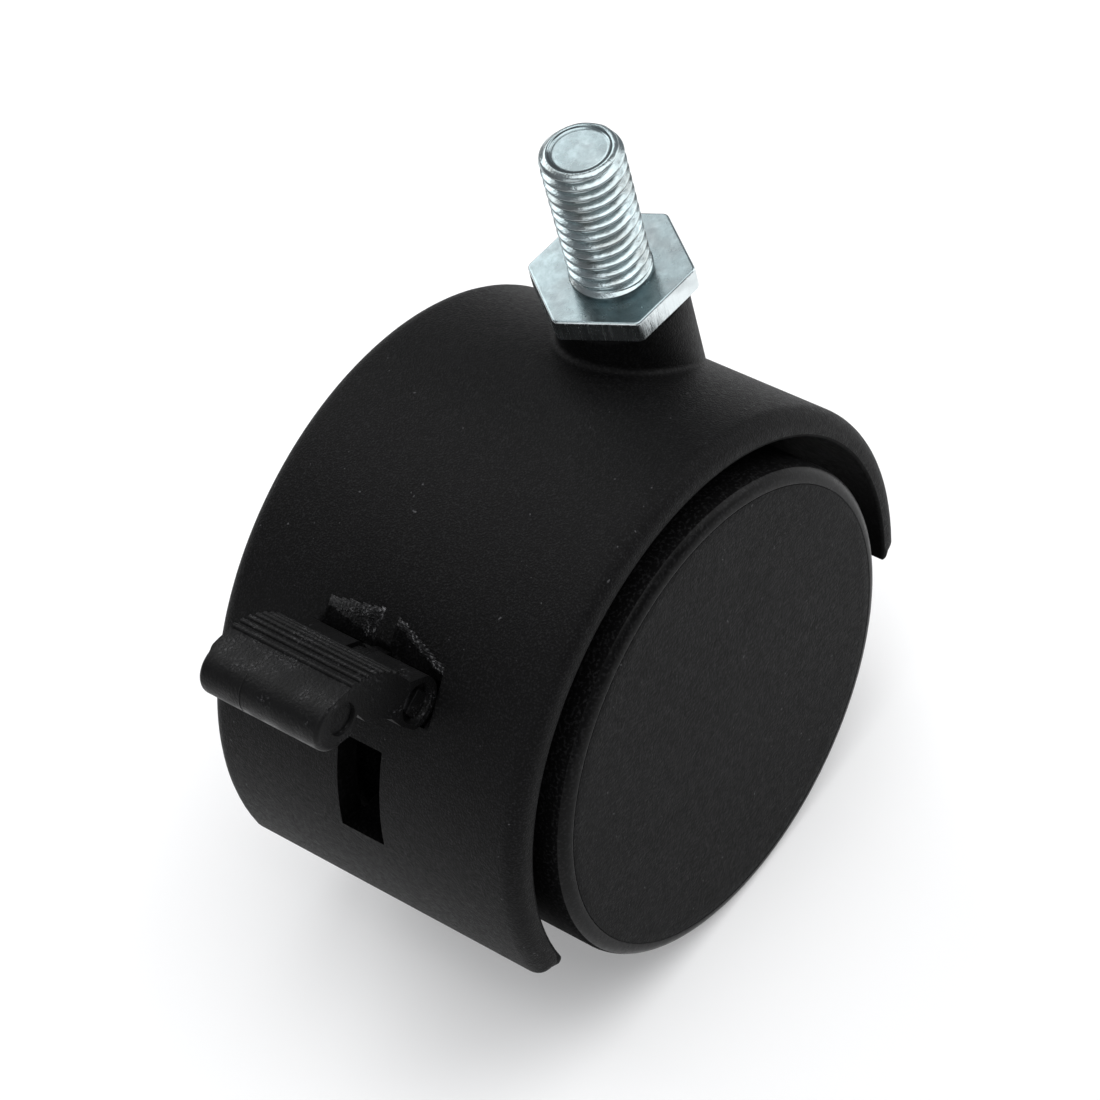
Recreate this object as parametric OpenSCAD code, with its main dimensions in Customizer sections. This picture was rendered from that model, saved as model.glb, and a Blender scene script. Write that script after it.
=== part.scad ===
// Twin-wheel swivel chair caster with a threaded stem, a half-drum hood and a foot brake.
// Origin: on the stem axis, at the seat on top of the hexagonal flange. +Z runs up the stem.
// The wheels trail towards -X, the axle lies along Y, and the brake pedal is at the -X end.
// "Left" is the +Y side. Hood, wheels and brake are drawn about the axle, then moved to it.

/* [Wheels] */
// Outside diameter of both wheels
wheel_d = 50; // [44:0.5:62]
// Overall width, across the outer faces of the two wheels
overall_w = 39.4; // [33:0.2:50]
// Distance between the inner faces of the two wheels
wheel_gap = 6.8; // [6.6:0.1:9]
// Radial thickness of the tread ring
tread_t = 3.6; // [3:0.1:4.4]
// Rounding of the tread's two edges
tread_edge = 1.5; // [0.5:0.1:1.5]
// Width of the rim band left around the cover disc
rim_band = 1.6; // [1.6:0.1:2.4]
// Thickness of the cover disc
cover_t = 1.8; // [1.2:0.1:2.4]
// Hub diameter of the wheel core
hub_d = 13; // [12:0.5:16]
// Thickness of the core's rim
core_rim_t = 2.4; // [1.6:0.1:3]
// Thickness of the core's web and ribs
rib_t = 1.6; // [1.2:0.1:2.4]
// Number of ribs in each core
rib_count = 8; // [4:1:12]

/* [Axle] */
// Axle diameter
axle_d = 6; // [5:0.1:7]
// Wall of the hub bush
bush_wall = 1; // [0.8:0.1:1.4]
// Flange diameter of the hub bush
bush_flange_d = 10.4; // [9.6:0.1:11.6]
// Thickness of the washer between hub and clip
axle_washer_t = 0.5; // [0.4:0.1:0.8]
// Outside diameter of that washer
axle_washer_d = 11; // [10:0.5:12]
// Thickness of the retaining clip
clip_t = 0.7; // [0.5:0.1:1]
// Outside diameter of the retaining clip
clip_d = 10; // [9:0.5:11]

/* [Hood] */
// Gap between the tread and the inside of the hood
hood_gap = 2.5; // [2:0.1:4]
// Wall thickness of the hood
hood_wall = 2.7; // [2.2:0.1:3.4]
// How far each wheel stands out beyond the hood's side
wheel_proud = 1.2; // [0.6:0.1:3]
// Rounding of the hood's two side edges
hood_edge = 1.8; // [0.5:0.1:2]
// How far the hood reaches below the axle
skirt_drop = 7; // [3:0.5:9]
// Rounding of the hood's lower corners
skirt_corner = 1.2; // [0.5:0.1:3]
// Thickness of the central web between the wheels
web_t = 4.6; // [4.4:0.1:5]
// Diameter of the axle boss on the web
boss_d = 14; // [12:0.5:17]
// Length of the axle boss along the axle
boss_w = 5.7; // [5.4:0.1:6]

/* [Stem] */
// Distance from the axle to the stem axis
trail = 18.6; // [16:0.1:22.5]
// Height of the neck's top above the crown of the hood
neck_rise = 1.2; // [0.5:0.1:6]
// Neck diameter
neck_d = 13; // [12.4:0.1:15]
// Thread size
thread_d = 8; // [6:1:10]
// Length of the thread above the flange
thread_len = 15.3; // [12:0.1:30]
// Chamfer at the thread's end
thread_chamfer = 1; // [0.5:0.1:1.5]
// Width across the flats of the flange
flange_af = 14; // [13:0.5:17]
// Thickness of the flange
flange_t = 2.5; // [2:0.1:4]
// Angle of the flange's first corner from +X
flange_turn = -5; // [-30:1:30]
// Diameter of the swivel pin below the flange
pin_d = 7; // [6:0.1:7.4]
// Wall of the swivel sleeve
sleeve_wall = 1; // [0.8:0.1:1.1]
// Thickness of the thrust washer
thrust_t = 0.5; // [0.4:0.1:1]
// Wire thickness of the snap ring
ring_t = 1; // [0.8:0.1:1.2]

/* [Brake] */
// Width of the pedal
pedal_w = 14; // [12:0.5:17]
// Angle of the pedal's pivot around the axle, from +X
pivot_angle = 137.4; // [132:0.2:142]
// Height of the pivot above the hood
pivot_rise = 2.4; // [2.2:0.1:3]
// Turn of the pedal from released to locked
brake_travel = 24; // [16:1:26]
// Clearance left between the locked cam and the tread
brake_clear = 0.25; // [0.1:0.05:0.6]
// Pivot pin diameter
pivot_pin_d = 2.4; // [2:0.1:3]
// Radius of the pedal's knuckle around the pivot
knuckle_r = 2.7; // [2.5:0.1:3]
// Radius of the pedal's rounded nose
nose_r = 2.5; // [2:0.1:2.8]
// Distance of the nose centre behind the pivot
nose_back = 8.9; // [8:0.1:12]
// Height of the nose centre above the pivot
nose_up = 7.2; // [6.4:0.1:7.6]
// Radius of the pedal's arched back
back_r = 9.1; // [8.6:0.1:9.8]
// Radius of the recess in each end of the knuckle
knuckle_recess_r = 2; // [1.9:0.05:2.2]
// Half thickness of each cam
cam_r = 1.3; // [1:0.1:1.5]
// Distance from the middle to the inner side of each cam
cam_in = 3; // [2.7:0.1:4]
// Width of each cam
cam_w = 3.4; // [2:0.1:3.6]
// Radius of the hinge seat sunk in the hood, around the pivot
seat_r = 3.7; // [3.4:0.1:4]
// Angle of the upper edge of the two ramps above the hinge, around the axle, from +X
ramp_top = 127.6; // [126:0.1:130]
// Depth of the ramps where they run into the hinge seat
ramp_depth = 1.8; // [1:0.1:2]
// Distance from the middle to the inner side of each ramp
ramp_in = 0.9; // [0.9:0.1:1.5]
// Width of the left ramp
ramp_left_w = 5.8; // [2:0.1:6]
// Width of the right ramp
ramp_right_w = 3; // [2:0.1:6]
// Thickness of the pivot ear
ear_t = 1.7; // [1.4:0.1:2.2]
// Radius of the pivot ear
ear_r = 2.4; // [2.2:0.1:2.6]
// Number of grip ribs across the pedal
grip_count = 7; // [3:1:9]
// Angle of the slot's upper end around the axle, from +X
slot_start = 151; // [149:0.1:156]
// Angle of the slot's lower end around the axle, from +X
slot_end = 171.7; // [168:0.1:174]
// Width of the slot
slot_w = 5.1; // [4:0.1:6]

/* [Hidden] */
$fn = 96;

// Fits and clearances
run_fit = 0.04;     // radial clearance of a shaft that turns in a bore
face_fit = 0.1;     // gap between faces that turn on each other
free_gap = 0.3;     // gap around moving plastic parts
cover_fit = 0.05;   // radial gap around the pressed-in cover
thread_fit = 0.05;  // how much the thread's crests lie below the nominal radius
bite = 0.2;         // depth by which features of one piece run into each other

// Wheels and axle, measured out from the middle along the axle
wheel_r = wheel_d / 2;
core_r = wheel_r - tread_t;
cover_r = wheel_r - rim_band;
face_y = overall_w / 2;
cover_y = face_y - cover_t;
wheel_y = wheel_gap / 2;
axle_end_y = cover_y - 4 * face_fit;
clip_y = axle_end_y - 2 * face_fit - clip_t;
washer_y = clip_y - face_fit - axle_washer_t;
hub_end_y = washer_y - face_fit;
bush_r = axle_d / 2 + bush_wall;
skirt_in = 1.5;     // depth of the cover's locating skirt
skirt_wall = 0.8;
clip_notch_r = 0.6;

// Hood
hood_ri = wheel_r + hood_gap;
hood_r = hood_ri + hood_wall;
hood_w = overall_w - 2 * wheel_proud;

// Stem and neck, heights above the axle
neck_top = hood_r + neck_rise;
seat_h = neck_top + face_fit + thrust_t + flange_t;
sleeve_r = pin_d / 2 + sleeve_wall;
neck_clear = 1;     // gap between the neck's foot and the treads
bore_floor = 0.8;   // plastic left below the blind stem bore
neck_foot_r = wheel_r + neck_clear;
bore_bottom = sqrt(pow(neck_foot_r + bore_floor, 2) - pow(trail - sleeve_r, 2));
pin_bottom = bore_bottom + free_gap;
groove_depth = 0.5;
end_dish = 0.3;      // depth of the flat dish in the thread's end
end_land = 0.4;      // width of the flat ring around that dish
end_dish_r = thread_d / 2 - thread_chamfer - end_land;
thrust_inset = 0.8;  // how far the thrust washer's edge lies inside the flange's flats
ring_z = pin_bottom + ring_t;
ring_opening = 1.4;
corner_cut = 0.3;    // how far the flange's corners are turned down
flange_corner_r = flange_af / 2 / cos(30) - corner_cut;

// Brake
pivot_r = hood_r + pivot_rise;
pivot = pivot_r * [cos(pivot_angle), sin(pivot_angle)];
cam_len = pivot_rise + hood_wall + hood_gap - brake_clear;
cam_rest = pivot_angle + 180 - brake_travel;
cam_tip = (cam_len - cam_r) * [cos(cam_rest), sin(cam_rest)];
ramp_foot = pivot_angle - 3;
knuckle_recess = 1; // depth of the recess in each end of the knuckle
nose_recess = 0.4;  // depth of the recess in each end of the nose
nose_rim = 0.9;     // width of the rim around that recess
nose_shift = 0.9;   // how far that recess lies inside the nose's centre
first_grip = 32;    // angle of the first grip rib on the arched back
grip_r = 0.35;
grip_pitch = 6.4;   // degrees between grip ribs along the arched back
back_shift = 0.4;   // places the arched back so that its foot meets the knuckle
back_c = [nose_up - back_r + nose_r - nose_back - back_shift, nose_up + nose_r - back_r];
pocket_depth = 8.5; // depth of the pocket in the web behind the slot

// A point on a circle, an arc of points, and a wedge that covers a range of angles
function polar(r, a) = r * [cos(a), sin(a)];
function arc(c, r, a0, a1, n) = [for (i = [0:n]) c + polar(r, a0 + (a1 - a0) * i / n)];
module wedge(r, a0, a1) polygon(concat([[0, 0]], arc([0, 0], r / cos((a1 - a0) / 8), a0, a1, 4)));

// Shapes along the axle: an XZ outline between two Y values, and a turned profile
module along_y(y0, y1) translate([0, y1, 0]) rotate([90, 0, 0]) linear_extrude(y1 - y0) children();
module across(w) along_y(-w / 2, w / 2) children();
module turned() rotate([90, 0, 0]) rotate_extrude() children();
module tube_y(ro, ri, y0, y1) along_y(-y1, -y0) difference() { circle(ro); circle(ri); }

// Places a shape drawn about the axle, and a right-hand shape on either side
module at_axle() translate([-trail, 0, -seat_h]) children();
module on_side(left) at_axle() mirror([0, left ? 1 : 0, 0]) children();

module hood_profile() {
    h = hood_w / 2;
    difference() {
        union() {
            translate([0, -h]) square([hood_r - hood_edge, 2 * h]);
            translate([0, hood_edge - h]) square([hood_r, 2 * (h - hood_edge)]);
            for (s = [-1, 1]) translate([hood_r - hood_edge, s * (h - hood_edge)]) circle(hood_edge);
        }
        translate([-1, -h - 1]) square([hood_ri + 1, 2 * h + 2]);
    }
}

// The space above the hood's lower edge, with rounded lower corners
module above_skirt() {
    h = hood_w / 2;
    rotate([90, 0, 90]) linear_extrude(4 * hood_r, center = true) {
        translate([-h, skirt_corner - skirt_drop]) square([2 * h, 2 * hood_r]);
        translate([skirt_corner - h, -skirt_drop]) square([2 * (h - skirt_corner), 2 * hood_r]);
        for (s = [-1, 1]) translate([s * (h - skirt_corner), skirt_corner - skirt_drop]) circle(skirt_corner);
    }
}

module web_outline() {
    intersection() {
        circle(hood_ri + bite);
        translate([-2 * hood_r, -skirt_drop]) square([4 * hood_r, 2 * hood_r]);
    }
    circle(boss_d / 2);
}

// The slot through the hood's wall, with the pocket behind it in the web
module slot_cut() across(slot_w) difference() {
    wedge(hood_r + 2, slot_start, slot_end);
    circle(hood_ri - pocket_depth);
}

module pivot_ear() {
    translate(pivot) circle(ear_r);
    translate(pivot) rotate(pivot_angle + 180) translate([0, -ear_r]) square([pivot_rise + hood_wall, 2 * ear_r]);
}

// Everything that a cam sweeps between released and locked, with room around it
module cam_sweep() translate(pivot) {
    w = cam_r + free_gap;
    for (a = [cam_rest, cam_rest + brake_travel]) rotate(a) translate([0, -w]) square([cam_len + 1, 2 * w]);
    wedge(cam_len, cam_rest, cam_rest + brake_travel);
}

// A ramp that leads from the hood's surface down into the hinge seat
module ramp() polygon([
    polar(hood_r, ramp_top), polar(hood_r - ramp_depth, ramp_foot),
    polar(hood_r + 2, ramp_foot), polar(hood_r + 2, ramp_top)
]);

// The hinge seat, the two ramps above it and the two windows for the cams
module hinge_cuts() {
    across(pedal_w + 2 * free_gap) translate(pivot) circle(seat_r);
    along_y(ramp_in, ramp_in + ramp_left_w) ramp();
    along_y(-ramp_in - ramp_right_w, -ramp_in) ramp();
    for (s = [0, 1]) mirror([0, s, 0]) along_y(cam_in - free_gap, cam_in + cam_w + free_gap) cam_sweep();
}

module neck() difference() {
    translate([trail, 0, 0]) cylinder(h = neck_top, d = neck_d);
    across(hood_w) circle(neck_foot_r);
}

module housing() color([0.10, 0.10, 0.11]) at_axle() difference() {
    union() {
        difference() {
            intersection() { turned() hood_profile(); above_skirt(); }
            hinge_cuts();
        }
        neck();
        across(web_t) web_outline();
        across(boss_w) circle(boss_d / 2);
        across(ear_t) pivot_ear();
    }
    slot_cut();
    across(2 * boss_w) circle(axle_d / 2);
    across(2 * ear_t) translate(pivot) circle(pivot_pin_d / 2);
    translate([trail, 0, bore_bottom]) cylinder(h = hood_r, r = sleeve_r);
}

module swivel_sleeve() color([0.62, 0.60, 0.55]) at_axle() translate([trail, 0, bore_bottom]) difference() {
    cylinder(h = neck_top - bore_bottom, r = sleeve_r);
    translate([0, 0, -1]) cylinder(h = 2 * hood_r, r = pin_d / 2 + run_fit);
    translate([0, 0, ring_z - face_fit - bore_bottom])
        cylinder(h = ring_t + 2 * face_fit, r = pin_d / 2 + groove_depth + face_fit);
}

module brake_pivot_pin() color([0.35, 0.35, 0.37]) at_axle()
    across(pedal_w - 2 * knuckle_recess + 2 * free_gap) translate(pivot) circle(pivot_pin_d / 2);

module axle() color([0.66, 0.67, 0.70]) at_axle() across(2 * axle_end_y) circle(axle_d / 2);

module axle_washer(left) color([0.85, 0.84, 0.80]) on_side(left)
    tube_y(axle_washer_d / 2, axle_d / 2 + run_fit, washer_y, washer_y + axle_washer_t);

// Push-on clip: a spring disc with four relief notches that grips the axle
module axle_clip(left) color([0.45, 0.46, 0.50]) on_side(left) along_y(-clip_y - clip_t, -clip_y) difference() {
    circle(clip_d / 2);
    circle(axle_d / 2);
    for (a = [45:90:315]) rotate(a) translate([axle_d / 2, 0]) circle(clip_notch_r);
}

module threaded_stem() color([0.72, 0.75, 0.80]) difference() {
    union() {
        translate([0, 0, -flange_t / 2])
            cylinder(h = thread_len - thread_chamfer + flange_t / 2, r = thread_d / 2 - thread_fit);
        translate([0, 0, thread_len - thread_chamfer])
            cylinder(h = thread_chamfer, r1 = thread_d / 2 - thread_fit, r2 = thread_d / 2 - thread_chamfer);
        translate([0, 0, -flange_t]) intersection() {
            rotate(flange_turn) cylinder(h = flange_t, r = flange_af / 2 / cos(30), $fn = 6);
            cylinder(h = flange_t, r = flange_corner_r);
        }
        translate([0, 0, pin_bottom - seat_h]) cylinder(h = seat_h - pin_bottom - flange_t / 2, d = pin_d);
    }
    translate([0, 0, thread_len - end_dish]) cylinder(h = 2 * end_dish, r = end_dish_r);
    translate([0, 0, ring_z - seat_h]) difference() {
        cylinder(h = ring_t, r = pin_d);
        translate([0, 0, -1]) cylinder(h = ring_t + 2, r = pin_d / 2 - groove_depth);
    }
}

module thrust_washer() color([0.88, 0.87, 0.82]) translate([0, 0, -flange_t - thrust_t]) difference() {
    cylinder(h = thrust_t, d = flange_af - 2 * thrust_inset);
    translate([0, 0, -1]) cylinder(h = thrust_t + 2, r = pin_d / 2 + run_fit);
}

// Open spring ring that holds the pin up in the sleeve
module stem_snap_ring() color([0.35, 0.37, 0.42])
    translate([0, 0, ring_z - seat_h + face_fit]) linear_extrude(ring_t - 2 * face_fit) difference() {
        circle(pin_d / 2 + groove_depth);
        circle(pin_d / 2 - groove_depth);
        translate([0, -ring_opening / 2]) square([pin_d, ring_opening]);
    }

module wheel_core(left) color([0.16, 0.16, 0.17]) on_side(left) {
    mid = (wheel_y + cover_y) / 2;
    turned() {
        translate([bush_r, wheel_y]) square([hub_d / 2 - bush_r, hub_end_y - wheel_y]);
        translate([core_r - core_rim_t, wheel_y + face_fit]) square([core_rim_t, cover_y - wheel_y - face_fit]);
        translate([hub_d / 2 - bite, mid - rib_t / 2])
            square([core_r - core_rim_t - hub_d / 2 + 2 * bite, rib_t]);
    }
    for (i = [0:rib_count - 1]) along_y(-cover_y + skirt_in + free_gap, -mid) rotate(i * 360 / rib_count)
        translate([hub_d / 2 - bite, -rib_t / 2]) square([core_r - core_rim_t - hub_d / 2 + 2 * bite, rib_t]);
}

module wheel_tread(left) color([0.13, 0.13, 0.14]) on_side(left) turned() difference() {
    union() {
        translate([core_r, wheel_y]) square([tread_t - tread_edge, face_y - wheel_y]);
        translate([core_r, wheel_y + tread_edge]) square([tread_t, face_y - wheel_y - 2 * tread_edge]);
        for (y = [wheel_y + tread_edge, face_y - tread_edge]) translate([wheel_r - tread_edge, y]) circle(tread_edge);
    }
    translate([0, cover_y]) square([cover_r, 2 * cover_t]);
}

module wheel_cover(left) color([0.18, 0.18, 0.19]) on_side(left) {
    along_y(-face_y, -cover_y) circle(cover_r - cover_fit);
    tube_y(core_r - core_rim_t - cover_fit, core_r - core_rim_t - skirt_wall, cover_y - skirt_in, cover_y + bite);
}

module hub_bush(left) color([0.90, 0.89, 0.84]) on_side(left) {
    tube_y(bush_r, axle_d / 2 + run_fit, wheel_y, hub_end_y);
    tube_y(bush_flange_d / 2, axle_d / 2 + run_fit, boss_w / 2 + face_fit, wheel_y);
}

// Side outline of the pedal about its pivot: knuckle, arched back, nose, hollow underside
function pedal_outline() = concat(
    arc([0, 0], knuckle_r, -120, 40, 20),
    arc(back_c, back_r, 16, 90, 24),
    arc([-nose_back, nose_up], nose_r, 90, 265, 20),
    [[-nose_back + 1.3, nose_up - nose_r], [-nose_back + 2.5, nose_up - 1.2]],
    [[-5.9, 4.4], [-4.4, 3.1], [-3.2, 1.5], [-2.5, -0.4]]
);

module cam() {
    translate(cam_tip) circle(cam_r);
    rotate(cam_rest) translate([0, -cam_r]) square([cam_len - cam_r, 2 * cam_r]);
}

module brake_pedal() color([0.15, 0.15, 0.16]) at_axle() translate([pivot[0], 0, pivot[1]]) difference() {
    union() {
        across(pedal_w) polygon(pedal_outline());
        for (s = [0, 1]) mirror([0, s, 0]) along_y(cam_in, cam_in + cam_w) cam();
        for (i = [0:grip_count - 1]) across(pedal_w)
            translate(back_c + polar(back_r, first_grip + i * grip_pitch)) circle(grip_r, $fn = 16);
    }
    across(ear_t + 2 * free_gap) circle(ear_r + free_gap);
    across(2 * pedal_w) circle(pivot_pin_d / 2 + run_fit);
    for (s = [0, 1]) mirror([0, s, 0]) {
        along_y(pedal_w / 2 - knuckle_recess, pedal_w) circle(knuckle_recess_r);
        along_y(pedal_w / 2 - nose_recess, pedal_w) translate([nose_shift - nose_back, nose_up])
            circle(nose_r - nose_rim);
    }
}

housing();
swivel_sleeve();
brake_pivot_pin();
axle();
axle_washer(true);  // left_axle_washer
axle_washer(false);  // right_axle_washer
axle_clip(true);  // left_axle_clip
axle_clip(false);  // right_axle_clip
threaded_stem();
thrust_washer();
stem_snap_ring();
wheel_core(true);  // left_wheel_core
wheel_tread(true);  // left_wheel_tread
wheel_cover(true);  // left_wheel_cover
hub_bush(true);  // left_hub_bush
wheel_core(false);  // right_wheel_core
wheel_tread(false);  // right_wheel_tread
wheel_cover(false);  // right_wheel_cover
hub_bush(false);  // right_hub_bush
brake_pedal();
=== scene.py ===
"""Looks of a twin-wheel swivel chair caster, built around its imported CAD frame."""

import math

import bmesh
import bpy
from mathutils import Matrix, Vector, noise


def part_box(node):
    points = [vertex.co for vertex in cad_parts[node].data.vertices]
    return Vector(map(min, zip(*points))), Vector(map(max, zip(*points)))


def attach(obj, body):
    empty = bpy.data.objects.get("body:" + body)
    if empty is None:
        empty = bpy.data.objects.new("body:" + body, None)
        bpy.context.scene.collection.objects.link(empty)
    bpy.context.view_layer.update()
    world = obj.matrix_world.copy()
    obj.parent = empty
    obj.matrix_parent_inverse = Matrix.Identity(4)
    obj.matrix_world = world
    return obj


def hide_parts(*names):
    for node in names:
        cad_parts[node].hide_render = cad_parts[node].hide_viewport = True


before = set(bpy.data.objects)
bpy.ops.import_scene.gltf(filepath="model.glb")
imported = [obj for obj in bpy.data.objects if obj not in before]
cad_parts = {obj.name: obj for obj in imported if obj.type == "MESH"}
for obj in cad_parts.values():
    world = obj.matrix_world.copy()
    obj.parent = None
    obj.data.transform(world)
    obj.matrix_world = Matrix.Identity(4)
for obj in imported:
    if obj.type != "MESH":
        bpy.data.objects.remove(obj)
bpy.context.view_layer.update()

MM = 0.001
NEAR_AXIS = 1e-9             # stands in for radius zero, so that a ring of points keeps its order

# ---------------------------------------------------------------- driving places, from the frame


def centre(node):
    low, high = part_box(node)
    return (low + high) / 2


def size(node):
    low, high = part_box(node)
    return high - low


AXLE = centre("axle")
PIVOT = centre("brake_pivot_pin")
WHEEL_R = size("left_wheel_tread").z / 2
FACE_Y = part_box("left_wheel_tread")[1].y
WHEEL_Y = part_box("left_wheel_tread")[0].y
COVER_R = size("left_wheel_cover").z / 2
CORE_R = size("left_wheel_core").z / 2
COVER_T = 1.8 * MM
HOOD_R = AXLE.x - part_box("housing")[0].x
HOOD_WALL = 2.7 * MM
HOOD_RI = HOOD_R - HOOD_WALL
HOOD_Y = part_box("housing")[1].y
SKIRT_DROP = AXLE.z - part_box("housing")[0].z
NECK_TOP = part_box("housing")[1].z
NECK_R = 6.5 * MM
NECK_FILLET = 0.6 * MM
SEAT_T = 2.5 * MM
PIN_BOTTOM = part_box("threaded_stem")[0].z
THREAD_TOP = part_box("threaded_stem")[1].z
TRAIL = -AXLE.x
PEDAL_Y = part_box("brake_pedal")[1].y
PIVOT_REACH = math.hypot(PIVOT.x - AXLE.x, PIVOT.z - AXLE.z)
PIVOT_ANGLE = math.degrees(math.atan2(PIVOT.z - AXLE.z, PIVOT.x - AXLE.x))
SLOT_Y = 2.55 * MM
SLOT_ANGLES = (151.0, 171.7)
SEAT_R = 3.7 * MM            # hinge seat sunk in the hood, around the pivot
SEAT_Y = PEDAL_Y + 0.2 * MM
RAMP_TOP = 127.2             # two ramps lead from the hood's surface down into the hinge seat
RAMP_FOOT = PIVOT_ANGLE - 3
RAMP_DEPTH = 1.3 * MM
RAMPS = ((-7.0 * MM, -0.9 * MM), (0.9 * MM, 6.9 * MM))
LIP_SLANTS = (0.75 / MM, 0.30 / MM)     # degrees each lip falls per metre from the middle
LIP_GRAIN = 0.7 * MM         # width of the lips' ragged steps
LIP_RAGGED = 0.5             # height of those steps, degrees
GLINT_START = -0.5           # the band of painted glints along each lip, degrees past the lip
GLINT_REACH = 1.2
GLINT_SLANT = 0.8 / MM
CAM_R = 1.3 * MM
CAM_Y = (3.0 * MM, 6.4 * MM)
CAM_LENGTH = 7.35 * MM
CAM_TURN = 24.0              # how far the cams turn from released to locked
CAM_REST = PIVOT_ANGLE + 180 - CAM_TURN


def polar(radius, degrees, middle=(0.0, 0.0)):
    a = math.radians(degrees)
    return (middle[0] + radius * math.cos(a), middle[1] + radius * math.sin(a))


def arc(middle, radius, start, end, steps):
    return [polar(radius, start + (end - start) * i / steps, middle) for i in range(steps + 1)]


def spread(start, end, steps):
    return [start + (end - start) * i / steps for i in range(steps + 1)]


# ---------------------------------------------------------------- materials


class Nodes:
    """A material's node tree, with a short way to add and link nodes."""

    def __init__(self, name):
        self.material = bpy.data.materials.new(name)
        self.material.use_nodes = True
        self.tree = self.material.node_tree
        self.shader = self.tree.nodes["Principled BSDF"]
        self.coords = self.add("ShaderNodeTexCoord").outputs["Object"]

    def add(self, kind, **values):
        node = self.tree.nodes.new(kind)
        for key, value in values.items():
            if hasattr(node, key):
                setattr(node, key, value)
            else:
                node.inputs[key.replace("_", " ")].default_value = value
        return node

    def link(self, source, target):
        self.tree.links.new(source, target)

    def noise(self, grain, detail=2.0, roughness=0.5, stretch=(1, 1, 1)):
        """Noise whose features are about grain metres across."""
        mapping = self.add("ShaderNodeMapping")
        mapping.inputs["Scale"].default_value = stretch
        self.link(self.coords, mapping.inputs["Vector"])
        node = self.add("ShaderNodeTexNoise", Scale=1 / grain, Detail=detail, Roughness=roughness)
        self.link(mapping.outputs["Vector"], node.inputs["Vector"])
        return node.outputs["Fac"]

    def ramp(self, source, low, high, out_low=0.0, out_high=1.0):
        node = self.add("ShaderNodeMapRange")
        span = {"From Min": low, "From Max": high, "To Min": out_low, "To Max": out_high}
        for key, value in span.items():
            node.inputs[key].default_value = value
        self.link(source, node.inputs["Value"])
        return node.outputs["Result"]

    def math(self, operation, a, b):
        node = self.add("ShaderNodeMath", operation=operation)
        for slot, value in zip(node.inputs, (a, b)):
            if isinstance(value, (int, float)):
                slot.default_value = value
            else:
                self.link(value, slot)
        return node.outputs["Value"]

    def mix(self, factor, a, b):
        node = self.add("ShaderNodeMix", data_type="RGBA")
        slots = [node.inputs[0], node.inputs[6], node.inputs[7]]
        for slot, value in zip(slots, (factor, a, b)):
            if isinstance(value, tuple):
                slot.default_value = (*value, 1.0)
            elif isinstance(value, float):
                slot.default_value = value
            else:
                self.link(value, slot)
        return node.outputs[2]

    def bump(self, height, distance, strength=1.0, before=None):
        node = self.add("ShaderNodeBump", Strength=strength, Distance=distance)
        self.link(height, node.inputs["Height"])
        if before is not None:
            self.link(before, node.inputs["Normal"])
        return node.outputs["Normal"]


def specks(nodes, grain, level):
    """Irregular dots of dust, as a 0 to 1 mask: a noise's peaks, thinned out by a wider noise."""
    peaks = nodes.ramp(nodes.noise(grain, 1.0, 0.4), level, level + 0.035)
    thin = nodes.ramp(nodes.noise(grain * 6, 2.0, 0.5), 0.52, 0.60)
    return nodes.math("MULTIPLY", peaks, thin)


def plastic(name, shade, rough, grain, depth, dust_level=0.72, mottle=0.12, gloss=0.22):
    """Black moulded plastic: spark-eroded grain, faint mottling and tiny pale dust specks."""
    n = Nodes(name)
    base, light, pale = (
        tuple(shade * k * c for c in (1.0, 1.0, 1.04)) for k in (1, 1 + 3 * mottle, 6.0))
    fine = n.noise(grain, 2.0, 0.6)
    coarse = n.noise(grain * 2.6, 2.0, 0.5)
    cloud = n.noise(9 * MM, 3.0, 0.6)
    colour = n.mix(n.ramp(cloud, 0.3, 0.7), base, light)
    colour = n.mix(n.ramp(fine, 0.50, 0.68, 0.0, 0.9), colour, pale)
    dust = n.math("MULTIPLY", specks(n, 0.45 * MM, dust_level), 0.6)
    colour = n.mix(dust, colour, (0.11, 0.11, 0.115))
    n.link(colour, n.shader.inputs["Base Color"])
    n.link(n.ramp(coarse, 0.3, 0.7, rough - 0.05, rough + 0.06), n.shader.inputs["Roughness"])
    n.shader.inputs["Specular IOR Level"].default_value = gloss
    height = n.math("ADD", fine, n.math("MULTIPLY", coarse, 0.3))
    n.link(n.bump(height, depth), n.shader.inputs["Normal"])
    return n.material


def glossy_plastic_painted_glints():
    """The hood's plastic on the ramps: coarse and shiny, with painted glints: pale specks where the
    lit slopes catch the light.
    """
    n = Nodes("glossy_plastic_painted_glints")
    crumbs = n.noise(0.30 * MM, 2.0, 0.55)
    patch = n.noise(1.6 * MM, 2.0, 0.5)
    # painted glints: pale specks of colour where the lit ramp slopes catch the light
    painted_glints = n.math("MULTIPLY", n.ramp(crumbs, 0.54, 0.64), n.ramp(patch, 0.42, 0.58))
    colour = n.mix(painted_glints, (0.008, 0.008, 0.0084), (0.17, 0.17, 0.175))
    n.link(colour, n.shader.inputs["Base Color"])
    n.link(n.ramp(crumbs, 0.35, 0.65, 0.38, 0.22), n.shader.inputs["Roughness"])
    n.shader.inputs["Specular IOR Level"].default_value = 0.55
    n.link(n.bump(crumbs, 0.20 * MM), n.shader.inputs["Normal"])
    return n.material


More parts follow.
